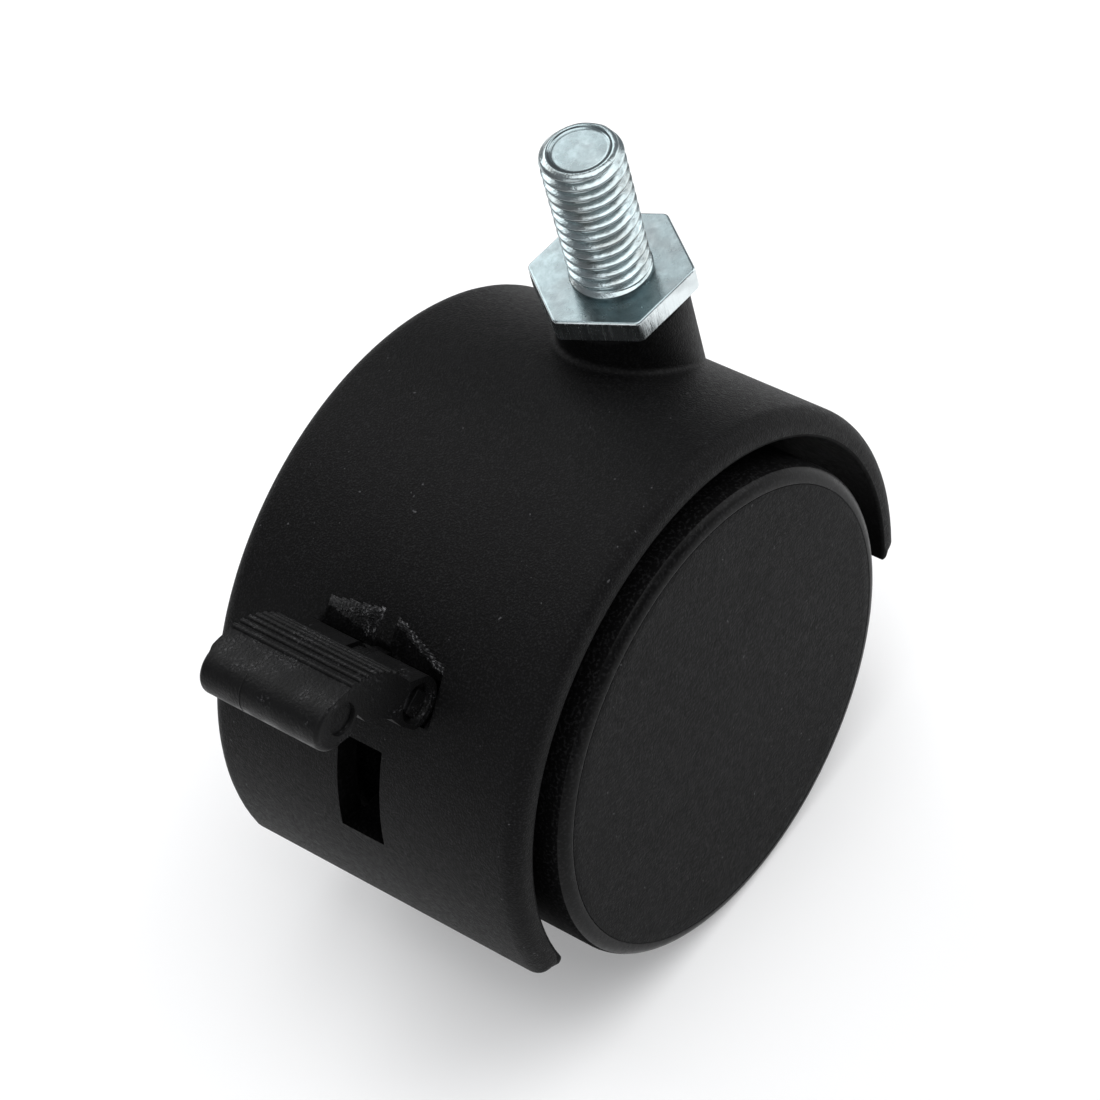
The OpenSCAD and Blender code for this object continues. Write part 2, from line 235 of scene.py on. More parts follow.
def pedal_plastic():
    """The pedal's plastic: lighter, satin, with glossy worn patches that carry painted glints."""
    n = Nodes("pedal_plastic")
    fine = n.noise(0.28 * MM, 3.0, 0.6)
    patch = n.noise(3.2 * MM, 2.0, 0.55)
    colour = n.mix(n.ramp(patch, 0.35, 0.65), (0.0030, 0.0030, 0.0031), (0.0055, 0.0055, 0.0057))
    # painted glints: pale specks where the glossy patches catch the light
    painted_glints = n.math("MULTIPLY", n.ramp(patch, 0.52, 0.60), n.ramp(fine, 0.56, 0.66))
    colour = n.mix(n.math("MULTIPLY", painted_glints, 0.35), colour, (0.11, 0.11, 0.115))
    n.link(colour, n.shader.inputs["Base Color"])
    rough = n.ramp(patch, 0.45, 0.62, 0.46, 0.27)
    n.link(rough, n.shader.inputs["Roughness"])
    n.shader.inputs["Specular IOR Level"].default_value = 0.13
    n.link(n.bump(fine, 0.07 * MM), n.shader.inputs["Normal"])
    return n.material


def metal(name, colour, stain, rough, grain=0.35 * MM, depth=0.004 * MM, stretch=(1, 1, 1),
          uneven=0.3):
    """Plated or drawn steel with uneven roughness and faint staining."""
    n = Nodes(name)
    cloud = n.noise(3.4 * MM, 2.0, 0.5)
    fine = n.noise(grain, 3.0, 0.6, stretch)
    shade = n.mix(n.ramp(cloud, 0.42, 0.72), colour, stain)
    n.link(shade, n.shader.inputs["Base Color"])
    n.shader.inputs["Metallic"].default_value = 1.0
    low, high = rough * (1 - uneven), rough * (1 + uneven)
    n.link(n.ramp(fine, 0.3, 0.7, low, high), n.shader.inputs["Roughness"])
    n.link(n.bump(fine, depth), n.shader.inputs["Normal"])
    return n.material


def acetal(name):
    """Natural white acetal with a faint flow pattern."""
    n = Nodes(name)
    flow = n.noise(1.5 * MM, 3.0, 0.5)
    n.link(n.mix(flow, (0.62, 0.60, 0.54), (0.74, 0.73, 0.68)), n.shader.inputs["Base Color"])
    n.link(n.ramp(flow, 0.3, 0.7, 0.3, 0.42), n.shader.inputs["Roughness"])
    n.link(n.bump(n.noise(0.4 * MM), 0.01 * MM), n.shader.inputs["Normal"])
    return n.material


def floor_material():
    n = Nodes("studio_floor")
    cloud = n.noise(0.2, 2.0, 0.5)
    n.link(n.mix(cloud, (0.78, 0.78, 0.78), (0.81, 0.81, 0.81)), n.shader.inputs["Base Color"])
    n.shader.inputs["Roughness"].default_value = 0.9
    n.shader.inputs["Specular IOR Level"].default_value = 0.1
    n.shader.inputs["Emission Color"].default_value = (1.0, 1.0, 1.0, 1.0)
    n.shader.inputs["Emission Strength"].default_value = 0.20
    return n.material


HOOD = plastic("hood_plastic", 0.0020, 0.52, 0.19 * MM, 0.085 * MM, 0.76, gloss=0.085)
# a darker, duller copy of the hood's plastic: painted shade on the inner faces, the slot's walls
# and the web
HOOD_PAINTED_SHADE = plastic("hood_plastic_painted_shade", 0.0012, 0.55, 0.3 * MM, 0.02 * MM, 0.90, gloss=0.03)
# the ramps' glossy plastic, with painted glints on the lit slopes
GLOSSY_PAINTED_GLINTS = glossy_plastic_painted_glints()
RIM = plastic("rim_plastic", 0.0018, 0.31, 0.30 * MM, 0.012 * MM, 0.80, 0.06, 0.088)
RUNNING = plastic("running_surface", 0.0022, 0.75, 0.3 * MM, 0.01 * MM, 0.90, 0.05, 0.02)
COVER = plastic("cover_plastic", 0.0025, 0.52, 0.22 * MM, 0.075 * MM, 0.74, 0.2, 0.058)
CORE = plastic("core_plastic", 0.004, 0.42, 0.5 * MM, 0.01 * MM, 0.90)
PEDAL = pedal_plastic()
ZINC = metal("zinc_plate", (0.31, 0.38, 0.395), (0.26, 0.30, 0.31), 0.23, 1.3 * MM, 0.006 * MM)
# a lighter copy of the zinc for the thread: painted light, while the cupped end keeps the darker
# zinc
THREAD_ZINC_PAINTED_LIGHT = metal(
    "thread_zinc_painted_light", (0.39, 0.46, 0.475), (0.27, 0.29, 0.285), 0.21, 0.3 * MM, 0.02 * MM)
# a much lighter copy of the zinc for the flange's sides, with real vertical shear streaks: painted
# light on the sides, while top and bottom stay darker
SHEARED_ZINC_PAINTED_LIGHT = metal(
    "sheared_zinc_painted_light", (0.72, 0.78, 0.79), (0.42, 0.46, 0.47), 0.24, 0.5 * MM, 0.05 * MM, (1, 1, 0.12))
AXLE_STEEL = metal("axle_steel", (0.58, 0.59, 0.61), (0.50, 0.50, 0.50), 0.28, stretch=(1, 6, 1))
SLEEVE_STEEL = metal("sleeve_steel", (0.54, 0.52, 0.47), (0.42, 0.40, 0.36), 0.3)
DARK_STEEL = metal("dark_steel", (0.030, 0.030, 0.032), (0.045, 0.042, 0.040), 0.35)
ACETAL = acetal("bearing_acetal")

# ---------------------------------------------------------------- mesh helpers


def piece(name, verts, faces, material, body, replaces=()):
    """A smooth-shaded mesh piece that rides on a body."""
    mesh = bpy.data.meshes.new(name)
    mesh.from_pydata([tuple(v) for v in verts], [], faces)
    mesh.validate()
    work = bmesh.new()
    work.from_mesh(mesh)
    bmesh.ops.remove_doubles(work, verts=work.verts, dist=1e-7)
    bmesh.ops.recalc_face_normals(work, faces=work.faces)
    work.to_mesh(mesh)
    work.free()
    mesh.shade_smooth()
    mesh.materials.append(material)
    obj = bpy.data.objects.new(name, mesh)
    bpy.context.scene.collection.objects.link(obj)
    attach(obj, body)
    if replaces:
        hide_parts(*replaces)
    return obj


def bevel(obj, width, segments=3, angle=35.0):
    """Rounds the piece's sharp edges and evens its normals."""
    mod = obj.modifiers.new("edge_round", "BEVEL")
    mod.width = width
    mod.segments = segments
    mod.limit_method = "ANGLE"
    mod.angle_limit = math.radians(angle)
    mod.harden_normals = False
    mod.miter_outer = "MITER_ARC"
    even_normals(obj)
    return obj


def even_normals(obj):
    mod = obj.modifiers.new("even_normals", "WEIGHTED_NORMAL")
    mod.mode = "FACE_AREA_WITH_ANGLE"
    mod.weight = 60
    return obj


def ring_faces(rows, columns, closed_rows):
    """Quads of a grid whose columns run round in a ring. Rows may also close."""
    faces = []
    for i in range(rows if closed_rows else rows - 1):
        for j in range(columns):
            a, b = i * columns, (i + 1) % rows * columns
            k = (j + 1) % columns
            faces.append((a + j, a + k, b + k, b + j))
    return faces


def lathe_y(name, profile, material, body, replaces=(), middle=AXLE, steps=192,
            closed=True):
    """Turns a closed (radius, y) outline round an axis along Y through middle."""
    verts = []
    for radius, y in profile:
        for j in range(steps):
            x, z = polar(radius, 360 * j / steps)
            verts.append((middle.x + x, y, middle.z + z))
    faces = ring_faces(len(profile), steps, closed)
    return piece(name, verts, faces, material, body, replaces)


def lathe_z(name, profile, material, body, replaces=(), steps=128, closed=False):
    """Turns a (radius, z) outline round the stem's axis. Open ones start and end on the axis."""
    verts = []
    for radius, z in profile:
        for j in range(steps):
            x, y = polar(max(radius, NEAR_AXIS), 360 * j / steps)
            verts.append((x, y, z))
    faces = ring_faces(len(profile), steps, closed)
    return piece(name, verts, faces, material, body, replaces)


def prism_y(name, outline, y0, y1, material, body, replaces=(), middle=PIVOT):
    """Extrudes an (x, z) outline about middle from y0 to y1."""
    count = len(outline)
    verts = [(middle.x + x, y, middle.z + z) for y in (y0, y1) for x, z in outline]
    faces = [tuple(range(count)), tuple(range(2 * count - 1, count - 1, -1))]
    faces += [(j, (j + 1) % count, count + (j + 1) % count, count + j) for j in range(count)]
    return piece(name, verts, faces, material, body, replaces)


def rounded(points, radius, steps=5):
    """The outline with each corner replaced by an arc of that radius."""
    result = []
    count = len(points)
    for i in range(count):
        p = Vector(points[i])
        a = Vector(points[i - 1]) - p
        b = Vector(points[(i + 1) % count]) - p
        half = a.angle(b) / 2
        cut = min(radius / math.tan(half), 0.45 * a.length, 0.45 * b.length)
        r = cut * math.tan(half)
        start, end = p + a.normalized() * cut, p + b.normalized() * cut
        middle = p + (a.normalized() + b.normalized()).normalized() * (r / math.sin(half))
        s, e = start - middle, end - middle
        turn = math.atan2(s.x * e.y - s.y * e.x, s.dot(e))
        for k in range(steps + 1):
            t = turn * k / steps
            v = Matrix.Rotation(t, 2) @ s
            result.append((middle.x + v.x, middle.y + v.y))
    return result


def cut(obj, tool):
    """Subtracts a hidden tool from the piece and removes the tool."""
    mod = obj.modifiers.new("cut", "BOOLEAN")
    mod.operation = "DIFFERENCE"
    mod.solver = "EXACT"
    mod.object = tool
    bpy.context.view_layer.update()
    graph = bpy.context.evaluated_depsgraph_get()
    mesh = bpy.data.meshes.new_from_object(obj.evaluated_get(graph))
    obj.modifiers.remove(mod)
    old = obj.data
    obj.data = mesh
    bpy.data.meshes.remove(old)
    bpy.data.objects.remove(tool)
    return obj


# ---------------------------------------------------------------- hood

EDGE_R = 1.8 * MM       # rounding of the hood's side edges
LIP_R = 0.35 * MM       # rounding of the inner side edges
CORNER_R = 1.2 * MM     # rounding of the lower corners
END_R = 0.6 * MM        # rounding of the wall's lower edge
HINGE_ZONE = (126.0, 146.0)
OUTSIDE_FACE, PAINTED_SHADE_FACE, PAINTED_GLINT_FACE = 0, 1, 2      # the hood's material slots: plain, painted shade, painted glints


def skirt_z(y):
    """Height of the hood's lower edge above the axle at y, with its corners rounded off."""
    over = abs(y) - (HOOD_Y - CORNER_R)
    if over <= 0:
        return -SKIRT_DROP
    return -SKIRT_DROP + CORNER_R - math.sqrt(max(CORNER_R ** 2 - over ** 2, 0))


def hood_stations():
    """(y, outer radius, inner y, inner radius) across the hood, from one side to the other."""
    steps = 8
    side = []
    for k in range(steps + 1):
        a = math.radians(90 * k / steps)
        side.append((
            HOOD_Y - EDGE_R + EDGE_R * math.cos(a), HOOD_R - EDGE_R + EDGE_R * math.sin(a),
            HOOD_Y - LIP_R + LIP_R * math.cos(a), HOOD_RI + LIP_R - LIP_R * math.sin(a),
        ))
    middle = spread(0.0, SLOT_Y, 12)[1:] + spread(SLOT_Y, SEAT_Y - 0.5 * MM, 20)[1:]
    middle += spread(SEAT_Y - 0.3 * MM, SEAT_Y + 0.3 * MM, 4) + spread(9 * MM, 15 * MM, 4)
    flat = sorted(middle + [-y for y in middle] + [0.0])
    low = [(-y, r, -yi, ri) for y, r, yi, ri in side]
    return low + [(y, HOOD_R, y, HOOD_RI) for y in flat] + side[::-1]


def soft_max(a, b, soft):
    return (a + b + math.sqrt((a - b) ** 2 + soft ** 2)) / 2


def ramp_lip(y):
    """Angle of the ramps' ragged upper lip. The right ramp's lip slants more than the left's."""
    slant = LIP_SLANTS[0] if y < 0 else LIP_SLANTS[1]
    ragged = noise.noise(Vector((y / LIP_GRAIN, 0.0, 0.0)))
    return RAMP_TOP + slant * (abs(y) - RAMPS[1][0]) + LIP_RAGGED * ragged


def ramp_depth(angle, y):
    """Depth below the hood's surface of the nearer ramp, negative outside it."""
    wall_slope = 3
    foot_slope, foot_land = 4 * MM, 0.6     # depth per degree, and degrees
    slope = RAMP_DEPTH * (angle - ramp_lip(y)) / (RAMP_FOOT - RAMP_TOP)
    wall = max(min(y - low, high - y) for low, high in RAMPS)
    foot = foot_slope * (RAMP_FOOT + foot_land - angle)
    return min(slope, wall_slope * wall, foot, RAMP_DEPTH)


def ramp_gloss_and_glint(angle, y):
    """The hood's material slot at a point: glossy with painted glints along the ramps' lips, and
    plain elsewhere. On the left ramp the painted band widens towards the middle, where its slope is
    lit.
    """
    past = angle - ramp_lip(y)
    reach = GLINT_REACH if y < 0 else GLINT_REACH + GLINT_SLANT * (RAMPS[1][1] - y)
    beside = any(low < y < high for low, high in RAMPS)
    return PAINTED_GLINT_FACE if beside and GLINT_START < past < reach else OUTSIDE_FACE


def hinge_depth(angle, y):
    """Depth below the hood's surface of the hinge seat and of the two ramps above it."""
    end_slope = 2
    blend, rim = 0.12 * MM, 0.10 * MM       # how softly the hollows meet each other and the hood
    turn = math.radians(angle - PIVOT_ANGLE)
    inside = SEAT_R ** 2 - (PIVOT_REACH * math.sin(turn)) ** 2
    if inside <= 0:
        seat = HOOD_R - PIVOT_REACH
    else:
        seat = HOOD_R - PIVOT_REACH * math.cos(turn) + math.sqrt(inside)
        seat = min(seat, end_slope * (SEAT_Y - abs(y)))
    return soft_max(soft_max(seat, ramp_depth(angle, y), blend), 0.0, rim)


def cam_window(side):
    """Cuts the hood's wall along the path of one cam, with room around it."""
    room = 0.3 * MM
    half = CAM_R + room
    outline = [polar(half, CAM_REST - 90)]
    for turn in (CAM_REST, CAM_REST + CAM_TURN):
        far = polar(CAM_LENGTH + 1 * MM, turn)
        outline += arc(far, half, turn - 90, turn + 90, 6)
    outline.append(polar(half, CAM_REST + CAM_TURN + 90))
    y0, y1 = sorted((side * (CAM_Y[0] - room), side * (CAM_Y[1] + room)))
    return prism_y("window_tool", outline, y0, y1, HOOD, "housing")


def hood_shell():
    """The half drum as one grid, with rounded edges, the hinge's hollows and the open slot."""
    stations = hood_stations()
    marks = [(0.0, 2.0), (HINGE_ZONE[0], 0.4), (HINGE_ZONE[1], 1.0), (SLOT_ANGLES[0], 2.0),
             (SLOT_ANGLES[1], 2.0), (180.0, 2.0)]
    inner_marks = []
    for (a, step), (b, _) in zip(marks, marks[1:]):
        inner_marks += spread(a, b, max(1, round((b - a) / step)))[:-1]
    inner_marks.append(180.0)
    skirt_length = HOOD_R * math.asin(SKIRT_DROP / HOOD_R)
    from_edge = [END_R * (1 - math.cos(math.radians(a))) for a in spread(0, 90, 6)]
    from_edge += spread(END_R, skirt_length, 4)[1:-1]
    skirt_steps = len(from_edge)
    count = len(inner_marks) + 2 * skirt_steps

    def angle(i, radius, z):
        """Station i round a circle: fixed angles above the axle, down to the lower edge below."""
        low = math.degrees(math.asin(min(0.0, z) / radius))
        if i < skirt_steps:
            return low * (1 - from_edge[i] / skirt_length)
        if i < skirt_steps + len(inner_marks):
            return inner_marks[i - skirt_steps]
        return 180 - low * (1 - from_edge[count - 1 - i] / skirt_length)

    def thinning(i):
        """How far each face of the wall draws in to round its lower edge off."""
        nearest = min(i, count - 1 - i, skirt_steps - 1)
        edge = from_edge[nearest]
        return END_R - math.sqrt(END_R ** 2 - max(END_R - edge, 0.0) ** 2)

    verts, grid = [], {}
    for i in range(count):
        thin = thinning(i)
        for j, (y, r, yi, ri) in enumerate(stations):
            z = skirt_z(y)
            held = min(thin, 0.35 * (r - ri))
            for layer, (yy, rr) in enumerate(((y, r - held), (yi, ri + held))):
                a = angle(i, rr, z)
                if layer == 0 and HINGE_ZONE[0] < a < HINGE_ZONE[1] and abs(y) < SEAT_Y + 0.5 * MM:
                    rr -= hinge_depth(a, y)
                x, dz = polar(rr, a)
                grid[layer, i, j] = len(verts)
                verts.append((AXLE.x + x, yy, AXLE.z + dz))

    def present(i, j):
        if not (0 <= i < count - 1 and 0 <= j < len(stations) - 1):
            return False
        y = (stations[j][0] + stations[j + 1][0]) / 2
        a = (angle(i, HOOD_R, -SKIRT_DROP) + angle(i + 1, HOOD_R, -SKIRT_DROP)) / 2
        return not (SLOT_ANGLES[0] < a < SLOT_ANGLES[1] and abs(y) < SLOT_Y)

    def face_material(layer, i, j):
        """Index of the face's material: plain outside, painted shade inside, or painted glints on
        the ramps.
        """
        if layer == 1:
            return PAINTED_SHADE_FACE
        y = (stations[j][0] + stations[j + 1][0]) / 2
        return ramp_gloss_and_glint((angle(i, HOOD_R, 0.0) + angle(i + 1, HOOD_R, 0.0)) / 2, y)

    faces, face_materials = [], []
    for i in range(count - 1):
        for j in range(len(stations) - 1):
            if not present(i, j):
                continue
            for layer in (0, 1):
                faces.append((grid[layer, i, j], grid[layer, i + 1, j],
                              grid[layer, i + 1, j + 1], grid[layer, i, j + 1]))
                face_materials.append(face_material(layer, i, j))
            sides = (((i - 1, j), (i, j), (i, j + 1)), ((i + 1, j), (i + 1, j), (i + 1, j + 1)),
                     ((i, j - 1), (i, j), (i + 1, j)), ((i, j + 1), (i, j + 1), (i + 1, j + 1)))
            for beside, p, q in sides:
                if not present(*beside):
                    faces.append((grid[0, p[0], p[1]], grid[0, q[0], q[1]],
                                  grid[1, q[0], q[1]], grid[1, p[0], p[1]]))
                    # the slot's walls take the painted shade of the inner faces
                    slot_wall = abs(stations[j][0]) < SEAT_Y and 0 < i < count - 2
                    face_materials.append(PAINTED_SHADE_FACE if slot_wall else OUTSIDE_FACE)
    obj = piece("hood_shell", verts, faces, HOOD, "housing", ["housing"])
    # second slot: painted shade on the inner faces and slot walls; third: painted glints on the
    # ramps
    for material in (HOOD_PAINTED_SHADE, GLOSSY_PAINTED_GLINTS):
        obj.data.materials.append(material)
    obj.data.polygons.foreach_set("material_index", face_materials)
    for side in (-1, 1):
        cut(obj, cam_window(side))
    obj.data.set_sharp_from_angle(angle=math.radians(50))
    return obj


def surface_z(x):
    """Height of the hood's outer surface above the axle at x."""
    return math.sqrt(max(HOOD_R ** 2 - x ** 2, 0.0))


def neck_profile(direction, fillet):
    """(distance from the stem axis, height) down the neck and its foot fillet, in one direction."""
    top = NECK_TOP - AXLE.z
    round_top = 0.4 * MM
    c = math.cos(math.radians(direction))

    def gap(z):
        s0 = NECK_R + fillet
        probes = [s0 - fillet + 3 * fillet * k / 60 for k in range(61)]
        return min(math.hypot(s - s0, surface_z(TRAIL + s * c) - z) for s in probes) - fillet

    low = surface_z(TRAIL + (NECK_R + fillet) * c)
    high = low + 4 * fillet
    for _ in range(30):
        middle = (low + high) / 2
        low, high = (middle, high) if gap(middle) < 0 else (low, middle)
    zc = high
    s0 = NECK_R + fillet
    probes = [s0 - fillet + 3 * fillet * k / 300 for k in range(301)]
    foot = min(probes, key=lambda s: math.hypot(s - s0, surface_z(TRAIL + s * c) - zc))
    end = math.degrees(math.atan2(surface_z(TRAIL + foot * c) - zc, foot - s0))
    points = [(NECK_R - round_top - 1.2 * MM, top)]
    points += arc((NECK_R - round_top, top - round_top), round_top, 90, 0, 4)
    points += [(NECK_R, zc + (top - round_top - zc) * t) for t in (0.66, 0.33)]
    points += arc((s0, zc), fillet, 180, 360 + end if end < 0 else end, 10)
    tail = foot + 0.8 * MM
    points.append((tail, surface_z(TRAIL + tail * c) - 0.25 * MM))
    points.append((NECK_R - 1.5 * MM, surface_z(TRAIL + (NECK_R - 1.5 * MM) * c) - 1.2 * MM))
    return points


def neck():
    """The stem's boss, which flows into the hood through a concave fillet."""
    steps = 160
    rows = [neck_profile(360 * j / steps, NECK_FILLET) for j in range(steps)]
    verts = []
    for k in range(len(rows[0])):
        for j, row in enumerate(rows):
            s, z = row[k]
            x, y = polar(s, 360 * j / steps)
            verts.append((x, y, AXLE.z + z))
    faces = ring_faces(len(rows[0]), steps, True)
    return piece("hood_neck", verts, faces, HOOD, "housing")


def centre_web():
    """The plate between the wheels, with its axle boss and the room behind the slot."""
    bite, half = 0.3 * MM, 2.3 * MM
    slot_room = 8.5 * MM
    boss_r, boss_y, bore, chamfer = 7.0 * MM, 2.85 * MM, 3.0 * MM, 0.3 * MM
    r = HOOD_RI + bite
    low = math.degrees(math.asin(-SKIRT_DROP / r))
    start, end = SLOT_ANGLES
    deep = HOOD_RI - slot_room
    outline = arc((0, 0), r, low, start, 60)
    outline += arc((0, 0), deep, start, end, 12)
    outline += arc((0, 0), r, end, 180 - low, 10)
    # the web wears the painted shade of the hood's inner faces
    web = prism_y("hood_web", outline, -half, half, HOOD_PAINTED_SHADE, "housing",
                  middle=AXLE)
    bevel(web, 0.2 * MM, 2, 40)
    profile = [(bore, -boss_y), (boss_r - chamfer, -boss_y), (boss_r, chamfer - boss_y)]
    profile += [(boss_r, boss_y - chamfer), (boss_r - chamfer, boss_y), (bore, boss_y)]
    lathe_y("axle_boss", profile, HOOD, "housing", steps=96)


def pivot_ear():
    """The ear between the pedal's two knuckles, which carries the pivot pin."""
    radius, half = 2.4 * MM, 0.85 * MM
    inward = PIVOT_ANGLE + 180
    outline = arc((0, 0), radius, inward + 60, inward + 300, 24)
    reach = PIVOT_REACH - HOOD_RI + 1.5 * MM
    for side in (-60, 60):
        x, z = polar(radius, inward + side)
        dx, dz = polar(reach - radius / 2, inward)
        outline.insert(0, (x + dx, z + dz)) if side > 0 else outline.append((x + dx, z + dz))
    ear = prism_y("pivot_ear", outline, -half, half, HOOD, "housing")
    return bevel(ear, 0.12 * MM, 2, 40)


# ---------------------------------------------------------------- wheels


def wheel(side):
    """Tread ring and cover disc of one wheel. side is +1 on the left (+Y) and -1 on the right."""
    name = "left" if side > 0 else "right"
    body = name + "_wheel"
    edge, seam, slit = 1.5 * MM, 0.045 * MM, 0.008 * MM
    seat = FACE_Y - COVER_T
    profile = [(CORE_R, WHEEL_Y + 0.2 * MM), (CORE_R + 0.2 * MM, WHEEL_Y)]
    profile += arc((WHEEL_R - edge, WHEEL_Y + edge), edge, -90, 0, 10)
    profile += [(WHEEL_R, y) for y in spread(WHEEL_Y + edge, FACE_Y - edge, 4)[1:-1]]
    profile += arc((WHEEL_R - edge, FACE_Y - edge), edge, 0, 90, 12)
    inner = COVER_R + 0.05 * MM
    profile += [(inner + seam, FACE_Y), (inner, FACE_Y - seam)]
    profile += [(COVER_R + slit, FACE_Y - 1.6 * seam), (COVER_R + slit, seat), (CORE_R, seat)]
    profile = [(r, side * y) for r, y in profile]
    ring = lathe_y(name + "_tread", profile, RIM, body, [name + "_wheel_tread"],
                   steps=256)
    ring.data.materials.append(RUNNING)
    running_y = FACE_Y - 0.55 * edge
    for face in ring.data.polygons:
        reach = math.hypot(face.center.x - AXLE.x, face.center.z - AXLE.z)
        if abs(face.center.y) < running_y and reach > CORE_R + 0.1 * MM:
            face.material_index = 1

    skin = 0.9 * MM
    disc = [(0.0, seat), (COVER_R, seat), (COVER_R, FACE_Y - seam)]
    disc += [(COVER_R - seam * 0.35, FACE_Y - seam * 0.3), (COVER_R - seam, FACE_Y)]
    disc += [(r, FACE_Y) for r in spread(COVER_R - skin, 0.0, 14)]
    disc = [(max(r, NEAR_AXIS), side * y) for r, y in disc]
    lathe_y(name + "_cover", disc, COVER, body, [name + "_wheel_cover"],
            steps=256)


# ---------------------------------------------------------------- stem

THREAD_PITCH = 1.25 * MM
CREST_R = 3.93 * MM
THREAD_DEPTH = 0.68 * MM


def thread_radius(turn, z):
    """Radius of a right-hand M8 x 1.25 rolled thread at an angle (in turns) and height."""
    t = (z / THREAD_PITCH - turn) % 1.0
    off = abs(t - 0.5) * THREAD_PITCH
    fall = (off - 0.08 * MM) * math.sqrt(3)
    soft = 0.05 * MM
    fall = (fall + math.sqrt(fall ** 2 + soft ** 2)) / 2
    fall = (fall + THREAD_DEPTH - math.sqrt((fall - THREAD_DEPTH) ** 2 + soft ** 2)) / 2
    return CREST_R - fall


def threaded_stem():
    """Zinc-plated screw: helical thread, cupped end, hexagonal flange and swivel pin."""
    steps, rise = 144, 0.05 * MM
    rows = round(THREAD_TOP / rise)
    collar_r, collar_h, chamfer = 4.0 * MM, 0.4 * MM, 0.9 * MM
    end_r = CREST_R - 0.75 * MM
    verts = []
    for i in range(rows + 1):
        z = THREAD_TOP * i / rows
        for j in range(steps):
            r = thread_radius(j / steps, z)
            if z > THREAD_TOP - chamfer:
                t = (z - THREAD_TOP + chamfer) / chamfer
                r = min(r, end_r + (CREST_R - end_r) * math.sqrt(1 - 0.98 * t * t))
            if z < collar_h:
                t = z / collar_h
                r = max(CREST_R - THREAD_DEPTH * 0.6,
                        collar_r - (collar_r - CREST_R + 0.5 * MM) * t)
            x, y = polar(r, 360 * j / steps)
            verts.append((x, y, z))
    dish_r, dish = 2.95 * MM, 0.17 * MM
    cup = [(end_r - 0.05 * MM, THREAD_TOP)]
    cup += [(dish_r - dish + x, THREAD_TOP - dish + z) for x, z in arc((0, 0), dish, 80, 0, 4)]
    cup += arc((dish_r - 2 * dish, THREAD_TOP - 0.6 * dish), 0.4 * dish, -10, -90, 3)
    cup += [(r, THREAD_TOP - dish) for r in spread(dish_r - 3 * dish, 0.0, 5)]
    for r, z in cup:
        verts += [(*polar(max(r, NEAR_AXIS), 360 * j / steps), z) for j in range(steps)]
    faces = ring_faces(rows + 1 + len(cup), steps, False)
    faces.append(tuple(range(steps)))
    thread = piece("stem_thread", verts, faces, THREAD_ZINC_PAINTED_LIGHT, "stem",
                   ["threaded_stem"])
    # the cupped end keeps the darker zinc; the thread wears the lighter copy, painted light
    thread.data.materials.append(ZINC)
    for face in thread.data.polygons:
        reach = math.hypot(face.center.x, face.center.y)
        on_end = face.center.z > THREAD_TOP - 1.5 * dish and reach < end_r
        face.material_index = 1 if on_end else 0

    flats, turn = 14.0 * MM, -5.0
    corners = [polar(flats / 2 / math.cos(math.radians(30)), turn + 60 * k) for k in range(6)]
    outline = rounded(corners, 0.8 * MM, 6)
    count = len(outline)
    verts = [(x, y, z) for z in (-SEAT_T, 0.0) for x, y in outline]
    faces = [tuple(range(count)), tuple(range(2 * count - 1, count - 1, -1))]
    faces += [(j, (j + 1) % count, count + (j + 1) % count, count + j) for j in range(count)]
    flange = piece("stem_flange", verts, faces, ZINC, "stem")
    # the flange's sides wear the lighter zinc, painted light, and its top and bottom the darker
    flange.data.materials.append(SHEARED_ZINC_PAINTED_LIGHT)
    for face in flange.data.polygons:
        face.material_index = 1 if abs(face.normal.z) < 0.5 else 0
    bevel(flange, 0.24 * MM, 4, 50)

    pin_r, groove = 3.5 * MM, 0.5 * MM
    ring_low, ring_high = PIN_BOTTOM + 1.0 * MM, PIN_BOTTOM + 2.0 * MM
    profile = [(0.0, PIN_BOTTOM), (pin_r - 0.3 * MM, PIN_BOTTOM), (pin_r, PIN_BOTTOM + 0.3 * MM)]
    profile += [(pin_r, ring_low), (pin_r - groove, ring_low), (pin_r - groove, ring_high)]
    profile += [(pin_r, ring_high), (pin_r, -SEAT_T / 2), (0.0, -SEAT_T / 2)]
    lathe_z("stem_pin", profile, ZINC, "stem", steps=64)


# ---------------------------------------------------------------- brake pedal

KNUCKLE_R = 2.7 * MM
NOSE_R = 2.5 * MM
NOSE = (-8.9 * MM, 7.2 * MM)
NOSE_SHIFT = 0.9 * MM         # the recess in the nose lies this much nearer the pivot
BACK_R = 9.1 * MM
BACK = (NOSE[1] - BACK_R + NOSE_R + NOSE[0] - 0.4 * MM, NOSE[1] + NOSE_R - BACK_R)
GRIP_R = 0.30 * MM
GRIP_COUNT = 7
GRIP_START = 32.0
GRIP_PITCH = 6.4


def back_with_ribs():
    """The pedal's arched back from knuckle to nose, with a half-round rib at each grip angle."""
    points = [polar(BACK_R, a, BACK) for a in spread(16, GRIP_START - 4, 4)]
    half = math.degrees(GRIP_R / BACK_R)
    for k in range(GRIP_COUNT):
        a = GRIP_START + k * GRIP_PITCH
        middle = polar(BACK_R, a, BACK)
        points += arc(middle, GRIP_R, a - 90, a + 90, 8)
        if k < GRIP_COUNT - 1:
            points.append(polar(BACK_R, a + GRIP_PITCH / 2, BACK))
    last = GRIP_START + (GRIP_COUNT - 1) * GRIP_PITCH
    points += [polar(BACK_R, a, BACK) for a in spread(last + 2 * half, 92, 4)]
    return points


